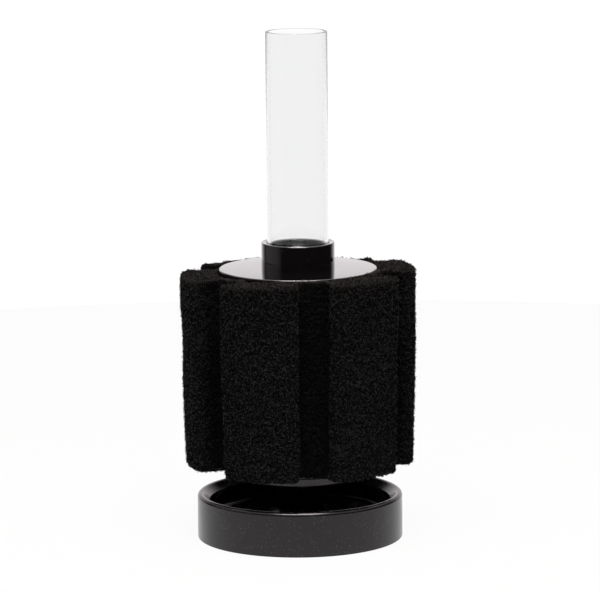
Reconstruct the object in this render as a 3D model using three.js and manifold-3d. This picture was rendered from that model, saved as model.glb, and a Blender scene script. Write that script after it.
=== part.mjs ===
// An air-lift sponge filter for an aquarium. A weighted round base holds a slotted core, a lobed
// foam sponge slides over the core, and a cap on the sponge takes a clear riser pipe. Air from the
// nozzle inside the core rises through the pipe and draws water in through the foam.
// Millimetres, +Z up. The origin is the middle of the base's underside.

import * as THREE from 'three';
import { mergeVertices } from 'three/addons/utils/BufferGeometryUtils.js';
import Module from 'manifold-3d';

const wasm = await Module();
wasm.setup();

// ---- Driving dimensions ----

const PLAY = 0.3; // gap between a piece and the one it sits in or on
const CHAMFER = 0.5; // broken edge of a moulded part
const FINE = 56; // sides of the round parts seen from outside
const COARSE = 40; // sides of the round parts inside
const SMALL = 20; // sides of the air fittings

const TOTAL_HEIGHT = 215.3;

const BASE_R = 43.5;
const BASE_HEIGHT = 19;
const BASE_WALL = 2.4;
const RIM_RADIUS = 1.6; // rounding of the base's upper edge
const RIM_SLOPE = 45; // degrees that the rim falls inwards, down to the dish's crisp edge
const DISH_R = 38.3;
const DISH_FLOOR = 8.5; // height of the dish's upper face
const DISH_FILLET = 1.5;
const COVER_THICKNESS = 1.6;

const SOCKET_R = 9.25; // bore in the base that holds the stem
const SOCKET_WALL = 3.85;
const SOCKET_FLOOR = 3.4;

const PLATE_R = 33.2;
const PLATE_TOP = 33;
const PLATE_THICKNESS = 2.3;
const HUB_R = 23;
const HUB_BOTTOM = 25;
const STEM_BORE_R = 6.4;
const STEM_BORE_TOP = 28;
const PLATE_SPIGOT_TOP = 40.5;
const SPIGOT_WALL = 1.5;

const CORE_R = 15;
const CORE_BORE_R = 13.15; // upper bore, down to the ledge that carries the nozzle
const CORE_LOWER_BORE_R = 12.6;
const LEDGE_HEIGHT = 98;
const SLOT_COLUMNS = 8;
const SLOT_ROWS = 4;
const SLOT = { width: 3.2, height: 10, pitch: 13, lowest: 49 };

const CAP_R = 33.3;
const CAP_BOTTOM = 113.5;
const CAP_THICKNESS = 1.7;
const COLLAR_R = 15.5;
const COLLAR_TOP = 126.5;
const CAP_SPIGOT_BOTTOM = 103;
const CAP_SPIGOT_R = 12.85;
const RISER_SEAT = 114.5;

const RISER_R = 13;
const RISER_WALL = 1.5;
const RISER_PLAY = 0.2;

const NIPPLE_TIP = 124.5;
const NIPPLE_R = 2.1;
const NIPPLE_BORE_R = 1.2;
const BARB_R = 2.75;
const BARB_COUNT = 3;
const BARB_PITCH = 2;
const NOZZLE_HUB_R = 4.2;
const NOZZLE_HUB = { bottom: 96, top: 103 };
const SPOKE_COUNT = 3;
const PIPE_R = 2.6;
const PIPE_BORE_R = 1.6;
const DIFFUSER_R = 5;
const DIFFUSER = { bottom: 36, floor: 38, shoulder: 44, top: 50 };
const DIFFUSER_HOLES = 6;
const DIFFUSER_HOLE_R = 0.6;

const SPONGE = {
  bottom: 32.5,
  top: 114.5,
  radius: 49.3, // at the top
  bottomScale: 0.966, // the foot is this much narrower
  grooveWidth: 15,
  grooveFloor: 37,
  cornerRadius: 4,
  lobes: 6,
  firstLobe: -21.5, // degrees from the front, towards the right
};

// ---- Shapes ----

/** Points of a circle's arc in a lathe profile, angles in degrees from the radial direction. */
function arc(centreR, centreZ, radius, from, to, steps) {
  return Array.from({ length: steps + 1 }, (_, i) => {
    const a = THREE.MathUtils.degToRad(from + ((to - from) * i) / steps);
    return [centreR + radius * Math.cos(a), centreZ + radius * Math.sin(a)];
  });
}

/** Turned solid about +Z. The profile of [radius, height] climbs its outer side. */
function turned(profile, sides) {
  const points = profile.map(([r, z]) => new THREE.Vector2(r, z));
  return new THREE.LatheGeometry(points, sides).rotateX(Math.PI / 2);
}

/** Closed ring profile with all four edges broken. */
function tubeProfile(inner, outer, bottom, top, edge) {
  return [
    [inner + edge, bottom], [outer - edge, bottom], [outer, bottom + edge],
    [outer, top - edge], [outer - edge, top], [inner + edge, top],
    [inner, top - edge], [inner, bottom + edge], [inner + edge, bottom],
  ];
}

function toSolid(geometry) {
  const plain = geometry.clone();
  plain.deleteAttribute('normal');
  plain.deleteAttribute('uv');
  const merged = mergeVertices(plain, 1e-4);
  return new wasm.Manifold(new wasm.Mesh({
    numProp: 3,
    vertProperties: Float32Array.from(merged.attributes.position.array),
    triVerts: Uint32Array.from(merged.index.array),
  }));
}

function toGeometry(solid) {
  const mesh = solid.getMesh();
  const geometry = new THREE.BufferGeometry();
  geometry.setAttribute('position', new THREE.BufferAttribute(mesh.vertProperties, 3));
  geometry.setIndex(new THREE.BufferAttribute(mesh.triVerts, 1));
  geometry.computeVertexNormals();
  return geometry;
}

/** The body with every cutter taken away. */
function cut(body, cutters) {
  return toGeometry(cutters.reduce((solid, c) => solid.subtract(toSolid(c)), toSolid(body)));
}

/** The pieces joined into one body. */
function joined(pieces) {
  return toGeometry(pieces.map(toSolid).reduce((whole, piece) => whole.add(piece)));
}

/** Copies of a shape spaced evenly about +Z. */
function around(count, makeShape) {
  return Array.from({ length: count }, (_, i) => makeShape().rotateZ((2 * Math.PI * i) / count));
}

const sharedMaterials = {
  blackPlastic: { color: 0x0d0d0f, roughness: 0.3, metalness: 0 },
  clearPlastic: { color: 0xeef1f3, roughness: 0.05, metalness: 0, transparent: true, opacity: 0.3 },
  blackFoam: { color: 0x0f0e0d, roughness: 1, metalness: 0 },
  greyStone: { color: 0x6b6a66, roughness: 0.9, metalness: 0 },
  whitePlastic: { color: 0xd8dad8, roughness: 0.4, metalness: 0 },
};

function part(name, geometry, look) {
  const mesh = new THREE.Mesh(geometry, new THREE.MeshStandardMaterial(sharedMaterials[look]));
  mesh.name = name;
  return mesh;
}

// ---- Base: shell, ballast and cover ----

function baseShell() {
  const wallInnerR = BASE_R - BASE_WALL;
  const crestR = BASE_R - RIM_RADIUS;
  const rim = arc(crestR, BASE_HEIGHT - RIM_RADIUS, RIM_RADIUS, 0, 90 + RIM_SLOPE, 7);
  const [slopeR, slopeTop] = rim.at(-1);
  const slopeFall = (slopeR - DISH_R) * Math.tan(THREE.MathUtils.degToRad(RIM_SLOPE));
  const under = DISH_FLOOR - BASE_WALL;
  const socketOuterR = SOCKET_R + SOCKET_WALL;
  return turned([
    [0, COVER_THICKNESS + PLAY],
    [socketOuterR, COVER_THICKNESS + PLAY],
    [socketOuterR, under],
    [wallInnerR, under],
    [wallInnerR, 0],
    [BASE_R - CHAMFER, 0],
    [BASE_R, CHAMFER],
    ...rim,
    [DISH_R, slopeTop - slopeFall],
    ...arc(DISH_R - DISH_FILLET, DISH_FLOOR + DISH_FILLET, DISH_FILLET, 0, -90, 4),
    [SOCKET_R + CHAMFER, DISH_FLOOR],
    [SOCKET_R, DISH_FLOOR - CHAMFER],
    [SOCKET_R, SOCKET_FLOOR],
    [0, SOCKET_FLOOR],
  ], FINE);
}

function ballastRing() {
  const inner = SOCKET_R + SOCKET_WALL + PLAY;
  const outer = BASE_R - BASE_WALL - PLAY;
  const bottom = COVER_THICKNESS + PLAY;
  return turned(tubeProfile(inner, outer, bottom, DISH_FLOOR - BASE_WALL - PLAY, CHAMFER), COARSE);
}

function baseCover() {
  const outer = BASE_R - BASE_WALL - PLAY;
  return turned([
    [0, 0],
    [outer - CHAMFER, 0],
    [outer, CHAMFER],
    [outer, COVER_THICKNESS],
    [0, COVER_THICKNESS],
  ], FINE);
}

// ---- Core: plate, strainer tube and air fittings ----

function lowerPlate() {
  const stemR = SOCKET_R - PLAY;
  const plateBottom = PLATE_TOP - PLATE_THICKNESS;
  const spigotR = CORE_LOWER_BORE_R - PLAY;
  return turned([
    [0, STEM_BORE_TOP],
    [STEM_BORE_R, STEM_BORE_TOP],
    [STEM_BORE_R, SOCKET_FLOOR + PLAY],
    [stemR - CHAMFER, SOCKET_FLOOR + PLAY],
    [stemR, SOCKET_FLOOR + PLAY + CHAMFER],
    [stemR, HUB_BOTTOM],
    [HUB_R - 2 * CHAMFER, HUB_BOTTOM],
    [HUB_R, HUB_BOTTOM + 2 * CHAMFER],
    [HUB_R, plateBottom],
    [PLATE_R - CHAMFER, plateBottom],
    [PLATE_R, plateBottom + CHAMFER],
    [PLATE_R, PLATE_TOP - CHAMFER],
    [PLATE_R - CHAMFER, PLATE_TOP],
    [spigotR, PLATE_TOP],
    [spigotR, PLATE_SPIGOT_TOP],
    [spigotR - SPIGOT_WALL, PLATE_SPIGOT_TOP],
    [spigotR - SPIGOT_WALL, PLATE_TOP],
    [0, PLATE_TOP],
  ], FINE);
}

function strainerTube() {
  const bottom = PLATE_TOP + PLAY;
  const top = CAP_BOTTOM - PLAY;
  const tube = turned([
    [CORE_LOWER_BORE_R, bottom],
    [CORE_R, bottom],
    [CORE_R, top],
    [CORE_BORE_R, top],
    [CORE_BORE_R, LEDGE_HEIGHT],
    [CORE_LOWER_BORE_R, LEDGE_HEIGHT],
    [CORE_LOWER_BORE_R, bottom],
  ], COARSE);
  const slots = [];
  for (let row = 0; row < SLOT_ROWS; row += 1) {
    slots.push(...around(SLOT_COLUMNS, () => {
      const slot = new THREE.BoxGeometry(3 * BASE_WALL, SLOT.width, SLOT.height);
      return slot.translate(CORE_R - BASE_WALL / 2, 0, SLOT.lowest + row * SLOT.pitch);
    }));
  }
  return cut(tube, slots);
}

function airNozzle() {
  const barbBottom = NIPPLE_TIP - BARB_COUNT * BARB_PITCH;
  const barbs = Array.from({ length: BARB_COUNT }, (_, i) => [
    [BARB_R, barbBottom + i * BARB_PITCH],
    [NIPPLE_R, barbBottom + (i + 1) * BARB_PITCH],
  ]).flat();
  const pipeSocketTop = NOZZLE_HUB.top - 2;
  const nipple = turned([
    [PIPE_R + PLAY, NOZZLE_HUB.bottom],
    [NOZZLE_HUB_R, NOZZLE_HUB.bottom],
    [NOZZLE_HUB_R, NOZZLE_HUB.top],
    [NIPPLE_R, NOZZLE_HUB.top + 2],
    [NIPPLE_R, barbBottom],
    ...barbs,
    [NIPPLE_BORE_R, NIPPLE_TIP],
    [NIPPLE_BORE_R, pipeSocketTop],
    [PIPE_R + PLAY, pipeSocketTop],
    [PIPE_R + PLAY, NOZZLE_HUB.bottom],
  ], SMALL);
  const ringBottom = LEDGE_HEIGHT + PLAY;
  const ringTop = CAP_SPIGOT_BOTTOM - PLAY;
  const ringR = CORE_BORE_R - PLAY;
  const ring = turned(tubeProfile(ringR - SPIGOT_WALL, ringR, ringBottom, ringTop, PLAY), COARSE);
  const spokeStart = NOZZLE_HUB_R - CHAMFER;
  const spokeEnd = ringR - SPIGOT_WALL / 2;
  const spokes = around(SPOKE_COUNT, () => {
    const spoke = new THREE.BoxGeometry(spokeEnd - spokeStart, 2, 3);
    return spoke.translate((spokeStart + spokeEnd) / 2, 0, (ringBottom + ringTop) / 2);
  });
  return joined([nipple, ring, ...spokes]);
}

function airPipe() {
  const top = NOZZLE_HUB.top - 2 - PLAY;
  const bottom = DIFFUSER.shoulder + PLAY;
  return turned([
    [PIPE_BORE_R, bottom],
    [PIPE_R, bottom],
    [PIPE_R, top],
    [PIPE_BORE_R, top],
    [PIPE_BORE_R, bottom],
  ], SMALL);
}

function airDiffuser() {
  const chamberR = DIFFUSER_R - 1.4;
  const cup = turned([
    [0, DIFFUSER.bottom],
    [DIFFUSER_R - CHAMFER, DIFFUSER.bottom],
    [DIFFUSER_R, DIFFUSER.bottom + CHAMFER],
    [DIFFUSER_R, DIFFUSER.top - CHAMFER],
    [DIFFUSER_R - CHAMFER, DIFFUSER.top],
    [PIPE_R + PLAY, DIFFUSER.top],
    [PIPE_R + PLAY, DIFFUSER.shoulder],
    [chamberR, DIFFUSER.shoulder],
    [chamberR, DIFFUSER.floor],
    [0, DIFFUSER.floor],
  ], SMALL);
  const rows = [DIFFUSER.floor + 1.5, DIFFUSER.shoulder - 1.5];
  const holes = rows.flatMap((height) => around(DIFFUSER_HOLES, () => {
    const hole = new THREE.CylinderGeometry(DIFFUSER_HOLE_R, DIFFUSER_HOLE_R, DIFFUSER_R, 8);
    return hole.rotateZ(Math.PI / 2).translate(DIFFUSER_R, 0, height);
  }));
  return cut(cup, holes);
}

// ---- Sponge ----

/** Outline of the lobed foam: round lobes with straight-walled grooves between them. */
function spongeOutline() {
  const { radius, grooveWidth, grooveFloor, cornerRadius, lobes, firstLobe } = SPONGE;
  const half = grooveWidth / 2;
  const shoulder = Math.asin((half + cornerRadius) / radius);
  const wallTop = Math.sqrt(radius ** 2 - half ** 2) - cornerRadius;
  const step = (2 * Math.PI) / lobes;
  const outline = new THREE.Shape();
  for (let i = 0; i < lobes; i += 1) {
    // 0 degrees faces -Y, and angles turn towards +X
    const middle = THREE.MathUtils.degToRad(firstLobe - 90) + (i + 0.5) * step;
    const at = (along, across) => [
      along * Math.cos(middle) - across * Math.sin(middle),
      along * Math.sin(middle) + across * Math.cos(middle),
    ];
    const arcStart = middle - step + shoulder;
    if (i === 0) outline.moveTo(radius * Math.cos(arcStart), radius * Math.sin(arcStart));
    outline.absarc(0, 0, radius, arcStart, middle - shoulder, false);
    const corner = wallTop + cornerRadius;
    outline.quadraticCurveTo(...at(corner, -half), ...at(wallTop, -half));
    outline.lineTo(...at(grooveFloor + cornerRadius, -half));
    outline.quadraticCurveTo(...at(grooveFloor, -half), ...at(grooveFloor, -half + cornerRadius));
    outline.lineTo(...at(grooveFloor, half - cornerRadius));
    outline.quadraticCurveTo(...at(grooveFloor, half), ...at(grooveFloor + cornerRadius, half));
    outline.lineTo(...at(wallTop, half));
    const next = middle + shoulder;
    outline.quadraticCurveTo(...at(corner, half), radius * Math.cos(next), radius * Math.sin(next));
  }
  return outline;
}

function sponge() {
  const height = SPONGE.top - SPONGE.bottom;
  const body = new THREE.ExtrudeGeometry(spongeOutline(), {
    depth: height,
    bevelEnabled: false,
    curveSegments: 5,
  });
  const position = body.attributes.position;
  for (let i = 0; i < position.count; i += 1) {
    const scale = THREE.MathUtils.lerp(SPONGE.bottomScale, 1, position.getZ(i) / height);
    position.setX(i, position.getX(i) * scale);
    position.setY(i, position.getY(i) * scale);
  }
  body.translate(0, 0, SPONGE.bottom);
  const plug = (radius, from, to) => turned([[0, from], [radius, from], [radius, to], [0, to]], COARSE);
  const overrun = 5;
  return cut(body, [
    plug(CORE_R + PLAY, SPONGE.bottom - overrun, SPONGE.top + overrun),
    plug(PLATE_R + PLAY, SPONGE.bottom - overrun, PLATE_TOP + PLAY),
    plug(CAP_R + PLAY, CAP_BOTTOM - PLAY, SPONGE.top + overrun),
  ]);
}

// ---- Cap and riser ----

function topCap() {
  const discTop = CAP_BOTTOM + CAP_THICKNESS;
  const bore = RISER_R + RISER_PLAY;
  const spigotInner = CAP_SPIGOT_R - SPIGOT_WALL;
  return turned([
    [spigotInner, CAP_SPIGOT_BOTTOM],
    [CAP_SPIGOT_R - CHAMFER, CAP_SPIGOT_BOTTOM],
    [CAP_SPIGOT_R, CAP_SPIGOT_BOTTOM + CHAMFER],
    [CAP_SPIGOT_R, CAP_BOTTOM],
    [CAP_R - CHAMFER, CAP_BOTTOM],
    [CAP_R, CAP_BOTTOM + CHAMFER],
    [CAP_R, discTop - CHAMFER],
    [CAP_R - CHAMFER, discTop],
    [COLLAR_R, discTop],
    [COLLAR_R, COLLAR_TOP - CHAMFER],
    [COLLAR_R - CHAMFER, COLLAR_TOP],
    [bore + CHAMFER, COLLAR_TOP],
    [bore, COLLAR_TOP - CHAMFER],
    [bore, RISER_SEAT],
    [spigotInner, RISER_SEAT],
    [spigotInner, CAP_SPIGOT_BOTTOM],
  ], FINE);
}

function riserTube() {
  const bottom = RISER_SEAT + PLAY;
  return turned(tubeProfile(RISER_R - RISER_WALL, RISER_R, bottom, TOTAL_HEIGHT, PLAY), FINE);
}

// ---- Assembly ----

const filter = new THREE.Group();
filter.add(
  part('base_shell', baseShell(), 'blackPlastic'),
  part('ballast_ring', ballastRing(), 'greyStone'),
  part('base_cover', baseCover(), 'blackPlastic'),
  part('lower_plate', lowerPlate(), 'blackPlastic'),
  part('strainer_tube', strainerTube(), 'blackPlastic'),
  part('air_nozzle', airNozzle(), 'whitePlastic'),
  part('air_pipe', airPipe(), 'clearPlastic'),
  part('air_diffuser', airDiffuser(), 'whitePlastic'),
  part('sponge', sponge(), 'blackFoam'),
  part('top_cap', topCap(), 'blackPlastic'),
  part('riser_tube', riserTube(), 'clearPlastic'),
);

export default filter;
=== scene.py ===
"""The looks of an air-lift sponge filter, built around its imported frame.

A weighted round base carries a slotted core. A lobed block of open-cell foam slides over the
core, a glossy cap sits on the foam, and a clear riser pipe stands in the cap's collar.
All sizes are in metres, in the frame's own axes, +Z up.
"""

import logging
import math
from collections.abc import Callable, Sequence
from dataclasses import dataclass
from enum import Enum
from typing import ClassVar

import bmesh
import bpy
import numpy as np
from mathutils import Matrix, Vector


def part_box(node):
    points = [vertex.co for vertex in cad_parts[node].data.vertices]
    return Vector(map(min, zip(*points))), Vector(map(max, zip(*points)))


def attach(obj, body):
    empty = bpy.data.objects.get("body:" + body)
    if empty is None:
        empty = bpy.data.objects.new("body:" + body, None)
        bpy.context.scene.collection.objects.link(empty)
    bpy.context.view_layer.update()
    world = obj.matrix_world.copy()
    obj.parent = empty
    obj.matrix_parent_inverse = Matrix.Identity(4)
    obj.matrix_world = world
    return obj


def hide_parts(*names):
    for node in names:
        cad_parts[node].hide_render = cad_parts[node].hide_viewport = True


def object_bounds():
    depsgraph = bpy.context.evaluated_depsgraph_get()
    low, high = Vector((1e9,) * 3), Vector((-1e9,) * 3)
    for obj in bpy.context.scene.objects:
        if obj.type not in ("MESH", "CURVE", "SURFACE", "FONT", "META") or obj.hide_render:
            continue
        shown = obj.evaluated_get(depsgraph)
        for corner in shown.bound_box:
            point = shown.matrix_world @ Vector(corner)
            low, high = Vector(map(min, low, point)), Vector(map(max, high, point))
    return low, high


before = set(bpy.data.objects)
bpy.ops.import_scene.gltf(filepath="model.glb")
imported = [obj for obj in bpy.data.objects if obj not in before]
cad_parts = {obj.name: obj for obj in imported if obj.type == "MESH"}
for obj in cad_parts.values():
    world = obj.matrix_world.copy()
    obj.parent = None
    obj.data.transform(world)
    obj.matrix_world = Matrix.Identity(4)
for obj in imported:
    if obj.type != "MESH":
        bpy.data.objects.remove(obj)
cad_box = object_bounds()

log = logging.getLogger("sponge_filter")

MM = 0.001
TURNED_SIDES = 192
FILLET_STEP = 9.0  # degrees between the points of a fillet
CRISP_ANGLE = 32.0  # degrees from which an edge stays crisp in a smooth piece
BROKEN_ANGLE = 40.0  # degrees from which an edge is rounded by a modifier
ON_AXIS = 1e-7
WHITE = (1.0, 1.0, 1.0)
Colour = tuple[float, float, float]


class Body(Enum):
    """The frame's moving bodies."""

    BASE = "base"
    CORE = "core"
    SPONGE = "sponge"
    CAP = "cap"
    RISER = "riser"


# ---------------------------------------------------------------- mesh making


@dataclass(frozen=True)
class Corner:
    """A corner of a turned profile, rounded by its fillet."""

    radius: float
    height: float
    fillet: float = 0.0


def rounded(corners: Sequence[Corner], closed: bool) -> np.ndarray:
    """Turns a cornered profile into a line whose corners are arcs.

    Args:
        corners: the profile's corners in order.
        closed: whether the last corner joins the first.

    Returns:
        An array of (radius, height) points.
    """
    count = len(corners)
    line: list[np.ndarray] = []
    for i, corner in enumerate(corners):
        here = np.array([corner.radius, corner.height])
        at_end = not closed and i in (0, count - 1)
        if corner.fillet <= 0 or at_end:
            line.append(here)
            continue
        before = corners[i - 1]
        after = corners[(i + 1) % count]
        back = np.array([before.radius, before.height]) - here
        ahead = np.array([after.radius, after.height]) - here
        back /= np.linalg.norm(back)
        ahead /= np.linalg.norm(ahead)
        half = math.acos(float(np.clip(back @ ahead, -1, 1))) / 2
        reach = corner.fillet / math.tan(half)
        middle = (back + ahead) / np.linalg.norm(back + ahead)
        centre = here + middle * corner.fillet / math.sin(half)
        start = here + back * reach - centre
        end = here + ahead * reach - centre
        sweep = math.pi - 2 * half
        steps = max(2, round(math.degrees(sweep) / FILLET_STEP))
        turn = math.copysign(1.0, float(start[0] * end[1] - start[1] * end[0]))
        for k in range(steps + 1):
            a = turn * sweep * k / steps
            spun = [
                start[0] * math.cos(a) - start[1] * math.sin(a),
                start[0] * math.sin(a) + start[1] * math.cos(a),
            ]
            line.append(centre + np.array(spun))
    return np.array(line)


def linked(name: str, data: bpy.types.ID) -> bpy.types.Object:
    """Makes an object of a mesh, lamp or camera and puts it in the scene."""
    piece = bpy.data.objects.new(name, data)
    bpy.context.scene.collection.objects.link(piece)
    return piece


def object_from(name: str, points: np.ndarray, faces: np.ndarray) -> bpy.types.Object:
    """Makes a scene object of quads.

    Args:
        name: the piece's name.
        points: an array of n by 3 coordinates.
        faces: an array of m by 4 point indices.

    Returns:
        The linked object, shaded smooth.
    """
    mesh = bpy.data.meshes.new(name)
    mesh.vertices.add(len(points))
    mesh.vertices.foreach_set("co", points.astype(np.float32).ravel())
    mesh.loops.add(faces.size)
    mesh.loops.foreach_set("vertex_index", faces.astype(np.int32).ravel())
    mesh.polygons.add(len(faces))
    mesh.polygons.foreach_set("loop_start", np.arange(0, faces.size, 4, dtype=np.int32))
    mesh.polygons.foreach_set("use_smooth", np.ones(len(faces), dtype=bool))
    mesh.update(calc_edges=True)
    mesh.validate()
    return linked(name, mesh)


def ring_faces(rings: int, sides: int, closed: bool) -> np.ndarray:
    """Quads between neighbouring rings of points, wound outwards.

    Args:
        rings: how many rings there are.
        sides: points in each ring.
        closed: whether the last ring joins the first.

    Returns:
        An array of quads.
    """
    last = rings if closed else rings - 1
    ring, side = np.meshgrid(np.arange(last), np.arange(sides), indexing="ij")
    above = (ring + 1) % rings
    beside = (side + 1) % sides
    low, high = ring * sides, above * sides
    corners = [low + side, low + beside, high + beside, high + side]
    return np.stack(corners, axis=-1).reshape(-1, 4)


def crisp(piece: bpy.types.Object) -> bpy.types.Object:
    """Keeps the sharper edges of a smooth piece crisp."""
    piece.data.set_sharp_from_angle(angle=math.radians(CRISP_ANGLE))
    return piece


def break_edges(piece: bpy.types.Object, width: float, segments: int) -> None:
    """Rounds the sharper edges of a piece with a modifier."""
    soften = piece.modifiers.new("edges", "BEVEL")
    soften.width = width
    soften.segments = segments
    soften.limit_method = "ANGLE"
    soften.angle_limit = math.radians(BROKEN_ANGLE)


def turned(name: str, corners: Sequence[Corner], closed: bool = True) -> bpy.types.Object:
    """Turns a profile about +Z.

    Args:
        name: the piece's name.
        corners: the profile, climbing its outer side.
        closed: whether the profile joins itself; otherwise it starts and ends on the axis.

    Returns:
        The new piece.
    """
    line = rounded(corners, closed)
    angle = np.linspace(0, 2 * math.pi, TURNED_SIDES, endpoint=False)
    radius = line[:, :1]
    height = np.broadcast_to(line[:, 1:], (len(line), TURNED_SIDES))
    points = np.stack([radius * np.cos(angle), radius * np.sin(angle), height], axis=-1)
    faces = ring_faces(len(line), TURNED_SIDES, closed)
    piece = object_from(name, points.reshape(-1, 3), faces)
    merge_poles(piece)
    return crisp(piece)


def merge_poles(piece: bpy.types.Object) -> None:
    """Joins the points that a profile leaves on the axis."""
    work = bmesh.new()
    work.from_mesh(piece.data)
    on_axis = [v for v in work.verts if v.co.xy.length < ON_AXIS]
    if on_axis:
        bmesh.ops.remove_doubles(work, verts=on_axis, dist=ON_AXIS)
        work.to_mesh(piece.data)
    work.free()


def cell_distances(points: np.ndarray, pitch: float, seed: int) -> tuple[np.ndarray, np.ndarray]:
    """Distances to the nearest and second nearest of a scatter of cell centres.

    Args:
        points: an array of n by 3 coordinates.
        pitch: the cells' mean spacing.
        seed: chooses the scatter.

    Returns:
        Both distances, in cell pitches.
    """
    scaled = points / pitch
    lowest = np.floor(scaled.min(0)).astype(int) - 1
    shape = np.floor(scaled.max(0)).astype(int) - lowest + 2
    jitter = np.random.default_rng(seed).random((*shape, 3))
    home = np.floor(scaled).astype(int)
    nearest = np.full(len(points), 9.0)
    second = np.full(len(points), 9.0)
    for offset in np.ndindex(3, 3, 3):
        cell = home + np.array(offset) - 1
        index = tuple((cell - lowest).T)
        gap = np.linalg.norm(cell + jitter[index] - scaled, axis=1)
        second = np.minimum(second, np.maximum(nearest, gap))
        nearest = np.minimum(nearest, gap)
    return nearest, second


def smooth_step(share: np.ndarray) -> np.ndarray:
    """Eases a share from 0 to 1, flat at both ends."""
    held = np.clip(share, 0, 1)
    return held * held * (3 - 2 * held)


def soft_noise(points: np.ndarray, pitch: float, seed: int) -> np.ndarray:
    """Smooth noise from -1 to 1 that changes over about one pitch.

    Args:
        points: an array of n by 3 coordinates.
        pitch: the size of its features.
        seed: chooses the pattern.

    Returns:
        One value for each point.
    """
    scaled = points / pitch
    base = np.floor(scaled).astype(int)
    share = smooth_step(scaled - base)
    lowest = base.min(0)
    values = np.random.default_rng(seed).uniform(-1, 1, base.max(0) - lowest + 2)
    total = np.zeros(len(points))
    for offset in np.ndindex(2, 2, 2):
        corner = np.array(offset)
        weight = np.prod(np.where(corner == 1, share, 1 - share), axis=1)
        total += weight * values[tuple((base + corner - lowest).T)]
    return total


# ---------------------------------------------------------------- finishes


class NodeTree:
    """A short way to add and join shader nodes."""

    def __init__(self, tree: bpy.types.NodeTree) -> None:
        """Keeps the tree that is being filled."""
        self.tree = tree

    def add(self, kind: str, **settings: object) -> bpy.types.Node:
        """Adds a node.

        Args:
            kind: the node's type name.
            settings: its properties by name.

        Returns:
            The new node.
        """
        node = self.tree.nodes.new(kind)
        for name, value in settings.items():
            setattr(node, name, value)
        return node

    def join(self, source: bpy.types.NodeSocket, target: bpy.types.NodeSocket) -> None:
        """Links one socket to another."""
        self.tree.links.new(source, target)

    def maths(self, operation: str, first: object, second: object = 0.0) -> bpy.types.NodeSocket:
        """Adds a Math node.

        Args:
            operation: the node's operation.
            first: a socket or a number.
            second: a socket or a number.

        Returns:
            The result's socket.
        """
        node = self.add("ShaderNodeMath", operation=operation)
        for socket, value in zip(node.inputs, (first, second)):
            if isinstance(value, bpy.types.NodeSocket):
                self.join(value, socket)
            else:
                socket.default_value = value
        return node.outputs[0]

    def remap(
        self, value: bpy.types.NodeSocket, low: float, high: float, to_low: float, to_high: float
    ) -> bpy.types.NodeSocket:
        """Maps a range of a value onto another range, clamped.

        Args:
            value: the socket to map.
            low: start of the range it comes from.
            high: end of the range it comes from.
            to_low: start of the range it goes to.
            to_high: end of the range it goes to.

        Returns:
            The result's socket.
        """
        node = self.add("ShaderNodeMapRange", interpolation_type="SMOOTHSTEP")
        self.join(value, node.inputs["Value"])
        names = ("From Min", "From Max", "To Min", "To Max")
        for name, number in zip(names, (low, high, to_low, to_high)):
            node.inputs[name].default_value = number
        return node.outputs["Result"]

    def mix(
        self, factor: bpy.types.NodeSocket, first: object, second: object
    ) -> bpy.types.NodeSocket:
        """Mixes two colours.

        Args:
            factor: 0 gives the first colour and 1 the second.
            first: a socket or a colour.
            second: a socket or a colour.

        Returns:
            The mixed colour's socket.
        """
        node = self.add("ShaderNodeMix", data_type="RGBA")
        self.join(factor, node.inputs[0])
        for socket, value in ((node.inputs[6], first), (node.inputs[7], second)):
            if isinstance(value, bpy.types.NodeSocket):
                self.join(value, socket)
            else:
                socket.default_value = (*value, 1.0)
        return node.outputs[2]


def group_inputs(tree: bpy.types.NodeTree, **values: float) -> bpy.types.Node:
    """Gives a node group its number inputs.

    Args:
        tree: the group.
        values: each input's name and usual value.

    Returns:
        The group's input node.
    """
    for name, value in values.items():
        socket = tree.interface.new_socket(name, in_out="INPUT", socket_type="NodeSocketFloat")
        socket.default_value = value
    return tree.nodes.new("NodeGroupInput")


def group_output(tree: bpy.types.NodeTree, name: str) -> bpy.types.Node:
    """Gives a node group its one output.

    Args:
        tree: the group.
        name: the output's name.

    Returns:
        The group's output node.
    """
    tree.interface.new_socket(name, in_out="OUTPUT", socket_type="NodeSocketFloat")
    return tree.nodes.new("NodeGroupOutput")


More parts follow.
